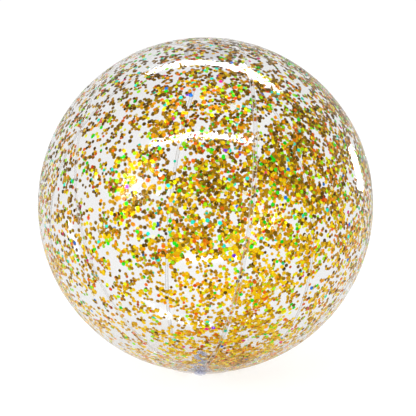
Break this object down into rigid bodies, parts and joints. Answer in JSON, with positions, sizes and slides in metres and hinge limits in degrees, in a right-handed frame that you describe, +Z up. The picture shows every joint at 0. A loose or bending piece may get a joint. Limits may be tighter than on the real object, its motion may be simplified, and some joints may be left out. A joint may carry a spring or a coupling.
{
  "type": "inflatable beach ball",
  "caption": "Clear inflatable beach ball of lap-welded gores with round end caps, loose gold glitter inside and a push-in valve with plug and check flap.",
  "frame": {"origin": "middle of the flat patch on which the ball rests, directly below the ball's centre", "axes": "+Z up from the floor through the ball's centre, +X to the right and -Y to the front, the side seen in the picture; the seam axis leans back 25.6 degrees from +Z, and the valve is low at the front"},
  "size_m": [0.3993, 0.399, 0.3987],
  "materials": {
    "clear_film": "glossy clear vinyl film",
    "cap_film": "glossy clear vinyl film",
    "valve_vinyl": "moulded translucent vinyl, faintly blue",
    "sleeve_vinyl": "thin soft translucent vinyl",
    "gold_glitter": "metallised holographic film flakes"
  },
  "bodies": {
    "ball": {"gore_panel_1": "clear_film", "gore_panel_2": "clear_film", "gore_panel_3": "clear_film", "gore_panel_4": "clear_film", "gore_panel_5": "clear_film", "gore_panel_6": "clear_film", "top_end_cap": "cap_film", "bottom_end_cap": "cap_film", "valve_base": "valve_vinyl", "valve_sleeve": "sleeve_vinyl", "glitter_layer_1": "gold_glitter", "glitter_layer_2": "gold_glitter", "glitter_layer_3": "gold_glitter", "glitter_layer_4": "gold_glitter", "glitter_layer_5": "gold_glitter", "glitter_layer_6": "gold_glitter"},
    "stem": {"valve_stem": "valve_vinyl"},
    "plug": {"valve_plug": "valve_vinyl", "plug_tether": "valve_vinyl"},
    "flap": {"check_flap": "sleeve_vinyl"}
  },
  "joints": [
    {"name": "valve_pull", "type": "slide", "parent": "ball", "child": "stem", "axis": [-0.0306, -0.432, -0.9013], "range_m": [0, 0.012]},
    {"name": "plug_flip", "type": "hinge", "parent": "stem", "child": "plug", "pos_m": [-0.00614, -0.09597, 0.01944], "axis": [-0.9995, 0.0045, 0.0318], "range_deg": [0, 165]},
    {"name": "flap_swing", "type": "hinge", "parent": "stem", "child": "flap", "pos_m": [-0.00542, -0.08164, 0.03984], "axis": [0.9995, -0.0045, -0.0318], "range_deg": [0, 40]}
  ]
}
